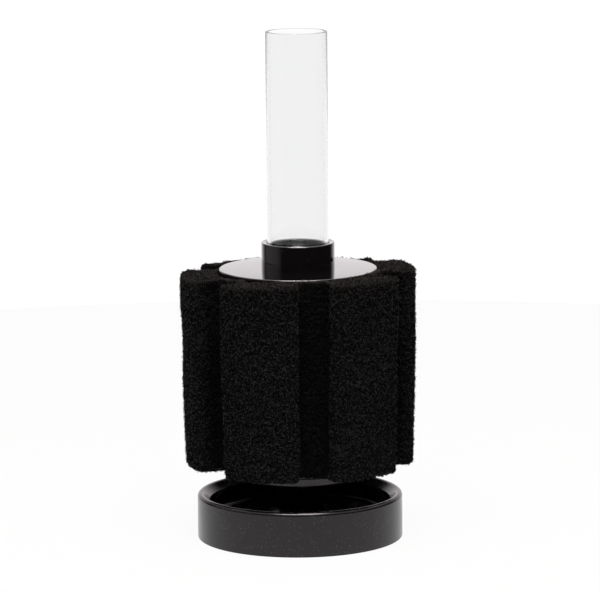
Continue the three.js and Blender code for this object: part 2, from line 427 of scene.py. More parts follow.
class Effects:
    """Shader node groups that several finishes share, each built once."""

    _built: ClassVar[dict[str, bpy.types.NodeTree]] = {}

    @classmethod
    def _get(cls, name: str, build: Callable[[NodeTree], None]) -> bpy.types.NodeTree:
        """Builds a group the first time it is asked for.

        Args:
            name: the group's name.
            build: fills the new group.

        Returns:
            The group.
        """
        if name not in cls._built:
            tree = bpy.data.node_groups.new(name, "ShaderNodeTree")
            build(NodeTree(tree))
            cls._built[name] = tree
        return cls._built[name]

    @classmethod
    def specks(cls) -> bpy.types.NodeTree:
        """Scattered dust specks as a mask. Inputs Scale and Amount, output Mask."""
        return cls._get("specks", cls._build_specks)

    @staticmethod
    def _build_specks(nodes: NodeTree) -> None:
        """Fills the speck group: small dots about some of the cells' centres, in loose clumps."""
        clump_scale, ragged_scale, raggedness = 0.08, 3.0, 0.35
        inputs = group_inputs(nodes.tree, Scale=400.0, Amount=0.1)
        output = group_output(nodes.tree, "Mask")
        position = nodes.add("ShaderNodeTexCoord")
        cells = nodes.add("ShaderNodeTexVoronoi", feature="F1")
        nodes.join(position.outputs["Object"], cells.inputs["Vector"])
        nodes.join(inputs.outputs["Scale"], cells.inputs["Scale"])
        chosen = nodes.add("ShaderNodeSeparateColor")
        nodes.join(cells.outputs["Color"], chosen.inputs["Color"])
        clumps = nodes.add("ShaderNodeTexNoise")
        nodes.join(position.outputs["Object"], clumps.inputs["Vector"])
        wide = nodes.maths("MULTIPLY", inputs.outputs["Scale"], clump_scale)
        nodes.join(wide, clumps.inputs["Scale"])
        share = nodes.remap(clumps.outputs["Fac"], 0.38, 0.62, 0.15, 2.0)
        wanted = nodes.maths("MULTIPLY", inputs.outputs["Amount"], share)
        kept = nodes.maths("LESS_THAN", chosen.outputs["Red"], wanted)
        ragged = nodes.add("ShaderNodeTexNoise")
        nodes.join(position.outputs["Object"], ragged.inputs["Vector"])
        tight = nodes.maths("MULTIPLY", inputs.outputs["Scale"], ragged_scale)
        nodes.join(tight, ragged.inputs["Scale"])
        fringe = nodes.maths("MULTIPLY", ragged.outputs["Fac"], raggedness)
        reach = nodes.maths("ADD", cells.outputs["Distance"], fringe)
        dot = nodes.remap(reach, 0.34, 0.48, 1.0, 0.0)
        nodes.join(nodes.maths("MULTIPLY", kept, dot), output.inputs["Mask"])

    @classmethod
    def grain(cls) -> bpy.types.NodeTree:
        """Fine moulded grain as a height. Inputs Scale and Stretch, output Height."""
        return cls._get("grain", cls._build_grain)

    @staticmethod
    def _build_grain(nodes: NodeTree) -> None:
        """Fills the grain group: layered noise that Stretch draws out along Z."""
        inputs = group_inputs(nodes.tree, Scale=900.0, Stretch=1.0)
        output = group_output(nodes.tree, "Height")
        position = nodes.add("ShaderNodeTexCoord")
        drawn = nodes.add("ShaderNodeCombineXYZ")
        drawn.inputs["X"].default_value = 1.0
        drawn.inputs["Y"].default_value = 1.0
        nodes.join(inputs.outputs["Stretch"], drawn.inputs["Z"])
        stretched = nodes.add("ShaderNodeVectorMath", operation="MULTIPLY")
        nodes.join(position.outputs["Object"], stretched.inputs[0])
        nodes.join(drawn.outputs["Vector"], stretched.inputs[1])
        noise = nodes.add("ShaderNodeTexNoise")
        noise.inputs["Detail"].default_value = 5.0
        nodes.join(stretched.outputs["Vector"], noise.inputs["Vector"])
        nodes.join(inputs.outputs["Scale"], noise.inputs["Scale"])
        nodes.join(noise.outputs["Fac"], output.inputs["Height"])

    @classmethod
    def smudges(cls) -> bpy.types.NodeTree:
        """Faint handling marks as a mask. Input Scale, output Mask."""
        return cls._get("smudges", cls._build_smudges)

    @staticmethod
    def _build_smudges(nodes: NodeTree) -> None:
        """Fills the smudge group: broad noise bent by itself."""
        inputs = group_inputs(nodes.tree, Scale=60.0)
        output = group_output(nodes.tree, "Mask")
        position = nodes.add("ShaderNodeTexCoord")
        noise = nodes.add("ShaderNodeTexNoise")
        noise.inputs["Detail"].default_value = 2.0
        noise.inputs["Distortion"].default_value = 0.3
        nodes.join(position.outputs["Object"], noise.inputs["Vector"])
        nodes.join(inputs.outputs["Scale"], noise.inputs["Scale"])
        mask = nodes.remap(noise.outputs["Fac"], 0.3, 0.75, 0.0, 1.0)
        nodes.join(mask, output.inputs["Mask"])

    @staticmethod
    def place(nodes: NodeTree, group: bpy.types.NodeTree, **values: float) -> bpy.types.NodeSocket:
        """Puts a group into a material.

        Args:
            nodes: the material's tree.
            group: the group to place.
            values: its inputs by name.

        Returns:
            The group's output socket.
        """
        node = nodes.add("ShaderNodeGroup", node_tree=group)
        for name, value in values.items():
            node.inputs[name].default_value = value
        return node.outputs[0]


@dataclass(frozen=True)
class Finish:
    """A material that a piece is dressed in, with the record's slot for it."""

    name: str
    slot: str
    made: ClassVar[dict[str, bpy.types.Material]] = {}

    def fill(self, nodes: NodeTree, shader: bpy.types.Node) -> None:
        """Sets the shader up; each finish does this in its own way."""
        raise NotImplementedError

    def material(self) -> bpy.types.Material:
        """Returns the Blender material, made the first time it is needed."""
        if self.name in self.made:
            return self.made[self.name]
        made = bpy.data.materials.new(self.name)
        self.made[self.name] = made
        made.use_nodes = True
        nodes = NodeTree(made.node_tree)
        nodes.tree.nodes.clear()
        shader = nodes.add("ShaderNodeBsdfPrincipled")
        output = nodes.add("ShaderNodeOutputMaterial")
        nodes.join(shader.outputs["BSDF"], output.inputs["Surface"])
        self.fill(nodes, shader)
        return made

    def dress(self, piece: bpy.types.Object) -> None:
        """Puts this finish on a piece."""
        piece.data.materials.clear()
        piece.data.materials.append(self.material())


def bump(
    nodes: NodeTree,
    shader: bpy.types.Node,
    height: bpy.types.NodeSocket,
    depth: float,
    strength: float,
) -> None:
    """Feeds a height to a shader's normal.

    Args:
        nodes: the material's tree.
        shader: the shader that gets the normal.
        height: the height's socket, from 0 to 1.
        depth: how deep 1 is, in metres.
        strength: how strongly it shows, from 0 to 1.
    """
    node = nodes.add("ShaderNodeBump")
    node.inputs["Distance"].default_value = depth
    node.inputs["Strength"].default_value = strength
    nodes.join(height, node.inputs["Height"])
    nodes.join(node.outputs["Normal"], shader.inputs["Normal"])


@dataclass(frozen=True)
class MouldedPlastic(Finish):
    """Moulded black or white plastic with grain, handling marks and dust."""

    colour: Colour = (0.0022, 0.0019, 0.002)
    dust: Colour = (0.1, 0.095, 0.093)
    tint: Colour = (1.0, 0.94, 0.96)
    roughness: float = 0.25
    mark_roughness: float = 0.12
    grain_scale: float = 900.0
    grain_depth: float = 0.00002
    grain_strength: float = 0.5
    speck_scale: float = 2000.0
    dust_amount: float = 0.05
    mark_scale: float = 70.0
    mark_shade: float = 0.35
    mark_lift: float = 1.4
    coat: float = 0.0
    coat_roughness: float = 0.03
    ior: float = 1.5

    def fill(self, nodes: NodeTree, shader: bpy.types.Node) -> None:
        """Sets up the plastic's colour, gloss and grain."""
        shader.inputs["IOR"].default_value = self.ior
        shader.inputs["Coat Weight"].default_value = self.coat
        shader.inputs["Coat Roughness"].default_value = self.coat_roughness
        shader.inputs["Specular Tint"].default_value = (*self.tint, 1.0)
        dust = Effects.place(
            nodes, Effects.specks(), Scale=self.speck_scale, Amount=self.dust_amount
        )
        marks = Effects.place(nodes, Effects.smudges(), Scale=self.mark_scale)
        shade = nodes.remap(marks, 0.0, 1.0, 0.0, self.mark_shade)
        tinted = nodes.mix(shade, self.colour, tuple(self.mark_lift * c for c in self.colour))
        nodes.join(nodes.mix(dust, tinted, self.dust), shader.inputs["Base Color"])
        rough = nodes.remap(marks, 0.0, 1.0, self.roughness, self.roughness + self.mark_roughness)
        nodes.join(self.roughness_of(nodes, rough), shader.inputs["Roughness"])
        grain = Effects.place(nodes, Effects.grain(), Scale=self.grain_scale, Stretch=1.0)
        height = nodes.maths("ADD", grain, dust)
        bump(nodes, shader, height, self.grain_depth, self.grain_strength)

    def roughness_of(self, nodes: NodeTree, rough: bpy.types.NodeSocket) -> bpy.types.NodeSocket:
        """Returns the roughness to use, here the same all over."""
        return rough


@dataclass(frozen=True)
class SatinSidedPlastic(MouldedPlastic):
    """Plastic that is satin outside a radius and polished inside it."""

    satin_from: float = 38.6 * MM
    satin_blend: float = 0.3 * MM
    polish: float = 0.05

    def roughness_of(self, nodes: NodeTree, rough: bpy.types.NodeSocket) -> bpy.types.NodeSocket:
        """Keeps the roughness outside the radius and polishes the rest."""
        position = nodes.add("ShaderNodeTexCoord")
        flat = nodes.add("ShaderNodeVectorMath", operation="MULTIPLY")
        flat.inputs[1].default_value = (1.0, 1.0, 0.0)
        nodes.join(position.outputs["Object"], flat.inputs[0])
        reach = nodes.add("ShaderNodeVectorMath", operation="LENGTH")
        nodes.join(flat.outputs["Vector"], reach.inputs[0])
        start = self.satin_from - self.satin_blend
        outside = nodes.remap(reach.outputs["Value"], start, self.satin_from, 0.0, 1.0)
        extra = nodes.maths("MULTIPLY", nodes.maths("SUBTRACT", rough, self.polish), outside)
        return nodes.maths("ADD", extra, self.polish)


@dataclass(frozen=True)
class ClearPlastic(Finish):
    """Clear extruded pipe whose gloss varies in faint lines drawn along it."""

    tint: Colour = (0.925, 0.926, 0.927)
    roughness: float = 0.01
    line_roughness: float = 0.02
    line_scale: float = 700.0
    line_stretch: float = 0.02
    ior: float = 1.47

    def fill(self, nodes: NodeTree, shader: bpy.types.Node) -> None:
        """Sets up the glass-like shader and the lines in its roughness."""
        shader.inputs["Base Color"].default_value = (*self.tint, 1.0)
        shader.inputs["IOR"].default_value = self.ior
        shader.inputs["Transmission Weight"].default_value = 1.0
        lines = Effects.place(
            nodes, Effects.grain(), Scale=self.line_scale, Stretch=self.line_stretch
        )
        roughest = self.roughness + self.line_roughness
        rough = nodes.remap(lines, 0.35, 0.65, self.roughness, roughest)
        nodes.join(rough, shader.inputs["Roughness"])


@dataclass(frozen=True)
class OpenCellFoam(Finish):
    """Black reticulated foam: grey strands over cells darkened by painted shade, browner at the
    crown by painted warm light.
    """

    # The pits' near-black is the foam's own black, deepened by painted shade that stands in for the
    # dark depth of the open cells.
    pit_black_and_shade: Colour = (0.0016, 0.0016, 0.0016)
    strand: Colour = (0.0265, 0.0265, 0.0267)
    # Painted warm light: between these heights the crown's strands turn browner, standing in for
    # the warm light that falls on the top.
    painted_crown_light: Colour = (0.0275, 0.0247, 0.0233)
    painted_crown_light_from: float = 104 * MM
    painted_crown_light_to: float = 116 * MM
    roughness: float = 0.7
    thread_scale: float = 900.0
    thread_share: float = 0.22
    thread_depth: float = 0.0003
    thread_strength: float = 0.6

    def fill(self, nodes: NodeTree, shader: bpy.types.Node) -> None:
        """Sets up the cells' colours from the mesh's own strands and from finer threads."""
        shader.inputs["Roughness"].default_value = self.roughness
        shader.inputs["Specular IOR Level"].default_value = 0.0
        # The mesh's strand attribute also carries the painted shade of the grooves.
        made = nodes.add("ShaderNodeAttribute", attribute_name="strand")
        position = nodes.add("ShaderNodeTexCoord")
        fine = nodes.add("ShaderNodeTexVoronoi", feature="DISTANCE_TO_EDGE")
        fine.inputs["Scale"].default_value = self.thread_scale
        nodes.join(position.outputs["Object"], fine.inputs["Vector"])
        threads = nodes.remap(fine.outputs["Distance"], 0.02, 0.16, self.thread_share, 0.0)
        both = nodes.maths("MAXIMUM", made.outputs["Fac"], threads)
        axes = nodes.add("ShaderNodeSeparateXYZ")
        nodes.join(position.outputs["Object"], axes.inputs["Vector"])
        # Painted warm light: the strands turn browner towards the top of the crown.
        crown = nodes.remap(axes.outputs["Z"], self.painted_crown_light_from, self.painted_crown_light_to, 0.0, 1.0)
        tone = nodes.mix(crown, self.strand, self.painted_crown_light)
        # Strands take the strand tone; the rest takes the pits' black with its painted shade.
        nodes.join(nodes.mix(both, self.pit_black_and_shade, tone), shader.inputs["Base Color"])
        bump(nodes, shader, threads, self.thread_depth, self.thread_strength)


@dataclass(frozen=True)
class CastBallast(Finish):
    """Grey cement-like ballast with sand grains in it."""

    colour: Colour = (0.26, 0.25, 0.23)
    grains: Colour = (0.42, 0.40, 0.36)
    roughness: float = 0.9
    sand_scale: float = 900.0
    sand_amount: float = 0.5
    grain_scale: float = 500.0
    grain_depth: float = 0.0002
    grain_strength: float = 0.8

    def fill(self, nodes: NodeTree, shader: bpy.types.Node) -> None:
        """Sets up the rough grey surface and its grains."""
        shader.inputs["Roughness"].default_value = self.roughness
        sand = Effects.place(
            nodes, Effects.specks(), Scale=self.sand_scale, Amount=self.sand_amount
        )
        nodes.join(nodes.mix(sand, self.colour, self.grains), shader.inputs["Base Color"])
        grain = Effects.place(nodes, Effects.grain(), Scale=self.grain_scale, Stretch=1.0)
        height = nodes.maths("ADD", grain, sand)
        bump(nodes, shader, height, self.grain_depth, self.grain_strength)


BASE_GLOSS = SatinSidedPlastic(
    "base_gloss",
    "base_black",
    roughness=0.16,
    mark_roughness=0.08,
    dust_amount=0.17,
    ior=1.46,
)
COVER_SATIN = MouldedPlastic("cover_satin", "cover_black", roughness=0.4, grain_depth=0.00004)
CORE_GLOSS = MouldedPlastic("core_gloss", "core_black", roughness=0.1)
CAP_GLOSS = MouldedPlastic(
    "cap_gloss",
    "cap_black",
    roughness=0.03,
    mark_roughness=0.04,
    grain_depth=0.000004,
    coat=0.85,
    dust_amount=0.01,
)
FITTING_WHITE = MouldedPlastic(
    "fitting_white",
    "air_white",
    colour=(0.62, 0.63, 0.62),
    dust=(0.5, 0.5, 0.48),
    roughness=0.35,
)
RISER_CLEAR = ClearPlastic("riser_drawn", "riser_clear")
AIR_PIPE_CLEAR = ClearPlastic(
    "air_pipe_drawn", "air_pipe_clear", tint=(0.85, 0.87, 0.88), roughness=0.08
)
FOAM_BLACK = OpenCellFoam("foam_open_cell", "foam_black")
BALLAST_GREY = CastBallast("ballast_grey", "ballast")


# ---------------------------------------------------------------- sub-assemblies


def span(node: str) -> tuple[float, float, float]:
    """Outer radius, lowest and highest point of a round frame node."""
    low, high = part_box(node)
    return high.x, low.z, high.z


def place(piece: bpy.types.Object, body: Body, finish: Finish, *nodes: str) -> bpy.types.Object:
    """Dresses a piece and hands it to the frame.

    Args:
        piece: the finished mesh.
        body: the body that it moves with.
        finish: what it is made of.
        nodes: the frame nodes that it stands for.

    Returns:
        The same piece.
    """
    finish.dress(piece)
    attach(piece, body.value)
    if nodes:
        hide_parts(*nodes)
    log.info("%s: %d faces on %s", piece.name, len(piece.data.polygons), body.value)
    return piece


def keep_node(node: str, finish: Finish, edge: float) -> None:
    """Gives a frame node that stays in view soft edges and a finish.

    Args:
        node: the frame node.
        finish: what it is made of.
        edge: the width of its broken edges.
    """
    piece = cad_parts[node]
    piece.modifiers.new("weld", "WELD").merge_threshold = 1e-6
    break_edges(piece, edge, 2)
    finish.dress(piece)
    log.info("%s: kept from the frame", node)


@dataclass
class WeightedBase:
    """The round base: dished shell, sealed ballast and cover."""

    wall: float = 2.4 * MM
    rim: float = 1.6 * MM
    rim_slope: float = 45.0
    dish_radius: float = 38.3 * MM
    dish_floor: float = 8.5 * MM
    dish_fillet: float = 1.5 * MM
    socket_radius: float = 9.25 * MM
    socket_wall: float = 3.85 * MM
    socket_floor: float = 3.4 * MM
    cover_gap: float = 0.3 * MM
    recess_depth: float = 0.5 * MM
    recess_share: float = 0.62
    recess_slope: float = 0.02
    soft: float = 0.4 * MM

    def shell(self) -> bpy.types.Object:
        """Builds the outer shell with its rolled rim, dish and stem socket."""
        radius, bottom, top = span("base_shell")
        _, _, cover_top = span("base_cover")
        inner = radius - self.wall
        bend = math.tan(math.radians(self.rim_slope) / 2)
        slope_radius = radius - self.rim - self.rim * bend
        dish_edge = top - (slope_radius - self.dish_radius) * math.tan(math.radians(self.rim_slope))
        under = self.dish_floor - self.wall
        socket = self.socket_radius + self.socket_wall
        floor = cover_top + self.cover_gap
        roll = 0.98 * self.rim  # a little under the rim's size, so that its two arcs don't meet
        corners = [
            Corner(0, floor),
            Corner(socket, floor, self.soft),
            Corner(socket, under, self.soft),
            Corner(inner, under, self.soft),
            Corner(inner, bottom, self.soft),
            Corner(radius, bottom, 1.1 * self.soft),
            Corner(radius, top, roll),
            Corner(slope_radius, top, roll),
            Corner(self.dish_radius, dish_edge, 0.15 * MM),
            Corner(self.dish_radius, self.dish_floor, self.dish_fillet),
            Corner(self.socket_radius, self.dish_floor, self.soft),
            Corner(self.socket_radius, self.socket_floor, self.soft),
            Corner(0, self.socket_floor),
        ]
        return turned("base_shell_moulded", corners, closed=False)

    def cover(self) -> bpy.types.Object:
        """Builds the bottom cover, with a shallow recess in the middle of its underside."""
        radius, bottom, top = span("base_cover")
        recess = bottom + self.recess_depth
        recess_edge = self.recess_share + self.recess_slope
        corners = [
            Corner(0, recess),
            Corner(self.recess_share * radius, recess, 0.3 * MM),
            Corner(recess_edge * radius, bottom, 0.3 * MM),
            Corner(radius, bottom, self.soft),
            Corner(radius, top, 0.2 * MM),
            Corner(0, top),
        ]
        return turned("base_cover_moulded", corners, closed=False)

    def build(self) -> None:
        """Builds and places every piece of the base."""
        place(self.shell(), Body.BASE, BASE_GLOSS, "base_shell")
        place(self.cover(), Body.BASE, COVER_SATIN, "base_cover")
        keep_node("ballast_ring", BALLAST_GREY, 0.2 * MM)


@dataclass
class Core:
    """The lower plate, the slotted tube and the air fittings inside it."""

    stem_radius: float = 8.95 * MM
    stem_bore: float = 6.4 * MM
    stem_bore_top: float = 28.0 * MM
    hub_radius: float = 23.0 * MM
    hub_bottom: float = 25.0 * MM
    plate_bottom: float = 30.7 * MM
    plate_top: float = 33.0 * MM
    spigot_radius: float = 12.3 * MM
    spigot_bore: float = 10.8 * MM
    ledge: float = 98.0 * MM
    upper_bore: float = 13.15 * MM
    lower_bore: float = 12.6 * MM
    slot_columns: int = 8
    slot_rows: int = 4
    slot_width: float = 3.2 * MM
    slot_height: float = 10.0 * MM
    slot_pitch: float = 13.0 * MM
    slot_lowest: float = 49.0 * MM
    wall_parts: int = 12
    ledge_rise: float = 0.02 * MM
    edge: float = 0.25 * MM

    def plate(self) -> bpy.types.Object:
        """Builds the lower plate with its hub, stem and spigot."""
        radius, bottom, top = span("lower_plate")
        soft = 0.5 * MM
        corners = [
            Corner(0, self.stem_bore_top),
            Corner(self.stem_bore, self.stem_bore_top, soft),
            Corner(self.stem_bore, bottom, 0.3 * MM),
            Corner(self.stem_radius, bottom, soft),
            Corner(self.stem_radius, self.hub_bottom, 2 * soft),
            Corner(self.hub_radius, self.hub_bottom, 2 * soft),
            Corner(self.hub_radius, self.plate_bottom, soft),
            Corner(radius, self.plate_bottom, 2 * soft),
            Corner(radius, self.plate_top, 2 * soft),
            Corner(self.spigot_radius, self.plate_top, soft),
            Corner(self.spigot_radius, top, 0.3 * MM),
            Corner(self.spigot_bore, top, 0.3 * MM),
            Corner(self.spigot_bore, self.plate_top, soft),
            Corner(0, self.plate_top),
        ]
        return turned("lower_plate_moulded", corners, closed=False)

    def _columns(self) -> list[tuple[float, bool]]:
        """Column edges of the slotted tube as angles, each with whether a slot starts there."""
        radius, _, _ = span("strainer_tube")
        half = math.asin(self.slot_width / 2 / radius)
        edges: list[tuple[float, bool]] = []
        step = 2 * math.pi / self.slot_columns
        gap = step - 2 * half
        parts = self.wall_parts
        for i in range(self.slot_columns):
            middle = i * step
            edges.append((middle - half, True))
            edges.append((middle, True))
            edges += [(middle + half + gap * k / parts, False) for k in range(parts)]
        return edges

    def _rows(self) -> list[tuple[float, float, bool]]:
        """Row edges of the slotted tube: height, bore radius and whether a slot starts there."""
        _, bottom, top = span("strainer_tube")
        rows = [(bottom, self.lower_bore, False)]
        for i in range(self.slot_rows):
            middle = self.slot_lowest + i * self.slot_pitch
            rows.append((middle - self.slot_height / 2, self.lower_bore, True))
            rows.append((middle + self.slot_height / 2, self.lower_bore, False))
        rows.append((self.ledge - self.ledge_rise, self.lower_bore, False))
        rows.append((self.ledge, self.upper_bore, False))
        rows.append((top, self.upper_bore, False))
        return rows

    def strainer(self) -> bpy.types.Object:
        """Builds the slotted tube from solid cells, leaving the slots out."""
        radius, _, _ = span("strainer_tube")
        columns = self._columns()
        rows = self._rows()
        work = bmesh.new()
        skins = [
            [
                [work.verts.new((r * math.cos(a), r * math.sin(a), z)) for a, _ in columns]
                for z, r in ((z, radius if outer else bore) for z, bore, _ in rows)
            ]
            for outer in (True, False)
        ]
        outside, inside = skins
        last = len(rows) - 1

        def solid(row: int, column: int) -> bool:
            """Whether a cell of the wall is material."""
            return 0 <= row < last and not (rows[row][2] and columns[column % len(columns)][1])

        for j in range(last):
            out_low, out_high = outside[j], outside[j + 1]
            in_low, in_high = inside[j], inside[j + 1]
            for i in range(len(columns)):
                n = (i + 1) % len(columns)
                if not solid(j, i):
                    continue
                work.faces.new((out_low[i], out_low[n], out_high[n], out_high[i]))
                work.faces.new((in_low[n], in_low[i], in_high[i], in_high[n]))
                if not solid(j - 1, i):
                    work.faces.new((out_low[n], out_low[i], in_low[i], in_low[n]))
                if not solid(j + 1, i):
                    work.faces.new((out_high[i], out_high[n], in_high[n], in_high[i]))
                if not solid(j, i - 1):
                    work.faces.new((out_high[i], in_high[i], in_low[i], out_low[i]))
                if not solid(j, i + 1):
                    work.faces.new((out_low[n], in_low[n], in_high[n], out_high[n]))
        bmesh.ops.delete(work, geom=[v for v in work.verts if not v.link_faces], context="VERTS")
        mesh = bpy.data.meshes.new("strainer_tube_moulded")
        work.to_mesh(mesh)
        work.free()
        piece = linked("strainer_tube_moulded", mesh)
        mesh.polygons.foreach_set("use_smooth", [True] * len(mesh.polygons))
        crisp(piece)
        break_edges(piece, self.edge, 3)
        return piece

    def build(self) -> None:
        """Builds and places every piece of the core."""
        place(self.plate(), Body.CORE, CORE_GLOSS, "lower_plate")
        place(self.strainer(), Body.CORE, CORE_GLOSS, "strainer_tube")
        keep_node("air_nozzle", FITTING_WHITE, 0.1 * MM)
        keep_node("air_pipe", AIR_PIPE_CLEAR, 0.1 * MM)
        keep_node("air_diffuser", FITTING_WHITE, 0.1 * MM)


@dataclass
class FoamBlock:
    """The lobed foam, with real cells on every face that can be seen."""

    lobes: int = 6
    first_lobe: float = -21.5
    groove_width: float = 15.0 * MM
    groove_floor: float = 37.0 * MM
    corner: float = 4.0 * MM
    foot_scale: float = 0.966
    edge: float = 0.8 * MM
    seat: float = 33.5 * MM
    bore: float = 15.3 * MM
    top_recess: float = 113.2 * MM
    bottom_recess: float = 33.3 * MM
    step: float = 0.52 * MM
    cell: float = 1.55 * MM
    cell_seed: int = 7
    warp: float = 0.25 * MM
    warp_pitch: float = 1.1 * MM
    warp_seed: int = 40
    strand_width: float = 0.26
    strand_height: float = 0.75 * MM
    pit_depth: float = 0.45 * MM
    # Painted shade: the block's own strands keep only this share of their lightness, so the block
    # reads as the shaded depth under the bowed-out strands.
    block_strand: float = 0.1
    tear_pitch: float = 1.3 * MM
    tear_seed: int = 11
    sway: float = 0.35 * MM
    sway_pitch: float = 17 * MM
    sway_seed: int = 23
    loops: int = 43000
    loop_length: float = 0.92 * MM
    loop_height: float = 0.8 * MM
    loop_thickness: float = 0.1 * MM
    loop_sides: int = 3
    loop_stations: int = 4
    loop_seed: int = 5
    left_sag: float = 1.7 * MM
    back_sag: float = 2.6 * MM
    # Painted shade: how much the strands on the groove walls are darkened, standing in for the
    # shadow that sits in the grooves.
    painted_groove_shade: float = 0.92

    def outline(self, radius: float) -> np.ndarray:
        """The block's outline, evenly spaced.

        Args:
            radius: the lobes' outer radius.

        Returns:
            An array of (x, y) points, counter-clockwise.
        """
        half = self.groove_width / 2
        shoulder = math.asin((half + self.corner) / radius)
        tip = math.sqrt(radius**2 - half**2)
        turn = 2 * math.pi / self.lobes
        share = np.linspace(0, 1, 24, endpoint=False)[:, None]

        def bend(a: np.ndarray, b: np.ndarray, c: np.ndarray) -> np.ndarray:
            """A rounded corner from a to c that pulls towards b."""
            return (1 - share) ** 2 * a + 2 * share * (1 - share) * b + share**2 * c

        line: list[np.ndarray] = []
        for i in range(self.lobes):
            groove = math.radians(self.first_lobe - 90) + (i + 0.5) * turn
            along = np.array([math.cos(groove), math.sin(groove)])
            across = np.array([-along[1], along[0]])

            def at(out: float, side: float) -> np.ndarray:
                """A point by its distances along and across the groove."""
                return along * out + across * side

            def rim(angle: float) -> np.ndarray:
                """A point of the lobes' circle."""
                return radius * np.array([math.cos(angle), math.sin(angle)])

            start, end = groove - turn + shoulder, groove - shoulder
            line += [rim(a)[None] for a in np.linspace(start, end, 60, endpoint=False)]
            low, high, soft = self.groove_floor, tip, self.corner
            line.append(bend(rim(end), at(high, -half), at(high - soft, -half)))
            line.append(bend(at(low + soft, -half), at(low, -half), at(low, -half + soft)))
            line.append(bend(at(low, half - soft), at(low, half), at(low + soft, half)))
            line.append(bend(at(high - soft, half), at(high, half), rim(groove + shoulder)))
        points = np.concatenate(line)
        looped = np.vstack([points, points[:1]])
        length = np.concatenate([[0], np.cumsum(np.linalg.norm(np.diff(looped, axis=0), axis=1))])
        count = round(length[-1] / self.step)
        even = np.linspace(0, length[-1], count, endpoint=False)
        return np.stack([np.interp(even, length, looped[:, k]) for k in (0, 1)], axis=-1)

    def _sag(self, line: np.ndarray) -> np.ndarray:
        """How far the crown has sunk at each point of the outline: at the left and the back."""
        left = smooth_step((-line[:, 0] - 5 * MM) / (35 * MM))
        back = smooth_step((line[:, 1] - 15 * MM) / (20 * MM))
        beside = smooth_step((line[:, 0] - 26 * MM) / (12 * MM))
        return np.maximum(self.left_sag * left, self.back_sag * back * (1 - beside))

    def _levels(self, bottom: float, top: float) -> list[tuple[float, float, float, float]]:
        """The block's cross-section as rings, up the outer wall and back down the bore.

        Args:
            bottom: height of the foot.
            top: height of the crown.

        Returns:
            For each ring: the inset from the outline, the share of the way from there to the
            seat's circle, the share from the seat's circle to the bore, and the height.
        """
        def steps(start: float, stop: float, count: int) -> np.ndarray:
            """Even steps from one value to another, without the first."""
            return np.linspace(start, stop, count + 1)[1:]

        levels: list[tuple[float, float, float, float]] = []
        quarter = np.linspace(0, math.pi / 2, 6)
        edge = self.edge
        walls = round((top - bottom - 2 * edge) / self.step)
        high, low = self.top_recess, self.bottom_recess
        for a in quarter[:-1]:
            levels.append((edge * (1 - math.sin(a)), 0, 0, bottom + edge * (1 - math.cos(a))))
        for z in np.linspace(bottom + edge, top - edge, walls):
            levels.append((0, 0, 0, z))
        for a in quarter[1:]:
            levels.append((edge * (1 - math.cos(a)), 0, 0, top - edge * (1 - math.sin(a))))
        levels += [(edge, share, 0, top) for share in steps(0, 1, 20)]
        levels += [(edge, 1, 0, z) for z in steps(top, high, 3)]
        levels += [(edge, 1, share, high) for share in steps(0, 1, 13)]
        levels += [(edge, 1, 1, z) for z in steps(high, low, 15)]
        levels += [(edge, 1, share, low) for share in steps(1, 0, 9)]
        levels += [(edge, 1, 0, z) for z in steps(low, bottom, 2)]
        levels += [(edge, share, 0, bottom) for share in steps(1, 0, 20)[:-1]]
        return levels

    def block(self) -> bpy.types.Object:
        """Builds the block, then opens its cells by moving the surface in and out, and paints shade
        onto the strands in its grooves.
        """
        radius, bottom, top = span("sponge")
        line = self.outline(radius)
        bearing = line / np.linalg.norm(line, axis=1, keepdims=True)
        levels = self._levels(bottom, top)
        sag = self._sag(line)
        rings = []
        for inset, seat_share, bore_share, z in levels:
            scale = self.foot_scale + (1 - self.foot_scale) * (z - bottom) / (top - bottom)
            outer = line * scale
            seat = bearing * self.seat
            inwards = seat - outer
            reach = np.linalg.norm(inwards, axis=1, keepdims=True)
            begun = outer + inwards / reach * np.minimum(inset, 0.8 * reach)
            ring = begun + (seat - begun) * seat_share
            ring = ring + bearing * (self.bore - self.seat) * bore_share
            height = max(0.0, (z - bottom) / (top - bottom)) ** 4
            rings.append(np.column_stack([ring, z - sag * height * (bore_share == 0)]))
        grid = np.array(rings)
        points = grid.reshape(-1, 3)
        normals = self._normals(grid).reshape(-1, 3)
        seen = np.array([1.0 if b == 0 else 0.35 if b < 1 else 0.0 for _, _, b, _ in levels])
        seen = np.repeat(seen, grid.shape[1])
        # Painted shade: strands on the outer walls darken the deeper into a groove they lie,
        # standing in for the groove's shadow.
        on_wall = np.array([1.0 if s == 0 and b == 0 else 0.0 for _, s, b, _ in levels])
        sunk = smooth_step((radius - np.linalg.norm(line, axis=1)) / (radius - self.groove_floor))
        shade = 1 - self.painted_groove_shade * np.outer(on_wall, sunk).ravel()
        points, strand = self._open_cells(points, normals, seen)
        faces = ring_faces(len(levels), grid.shape[1], True)
        loop_points, loop_faces, roots = self._loops(points, normals, seen)
        faces = np.vstack([faces, loop_faces + len(points)])
        points = np.vstack([points, loop_points])
        # The strand attribute carries each point's strand share with the painted groove shade
        # multiplied in; the bowed-out strands take the shade of the point they spring from.
        strand = np.concatenate([self.block_strand * strand * shade, shade[roots]])
        piece = object_from("foam_block", points, faces)
        attribute = piece.data.attributes.new("strand", "FLOAT", "POINT")
        attribute.data.foreach_set("value", strand.astype(np.float32))
        return piece

    @staticmethod
    def _normals(grid: np.ndarray) -> np.ndarray:
        """Outward normals of a closed grid of rings."""
        up = np.roll(grid, -1, axis=0) - np.roll(grid, 1, axis=0)
        side = np.roll(grid, -1, axis=1) - np.roll(grid, 1, axis=1)
        normal = np.cross(side, up)
        return normal / np.maximum(np.linalg.norm(normal, axis=-1, keepdims=True), 1e-12)

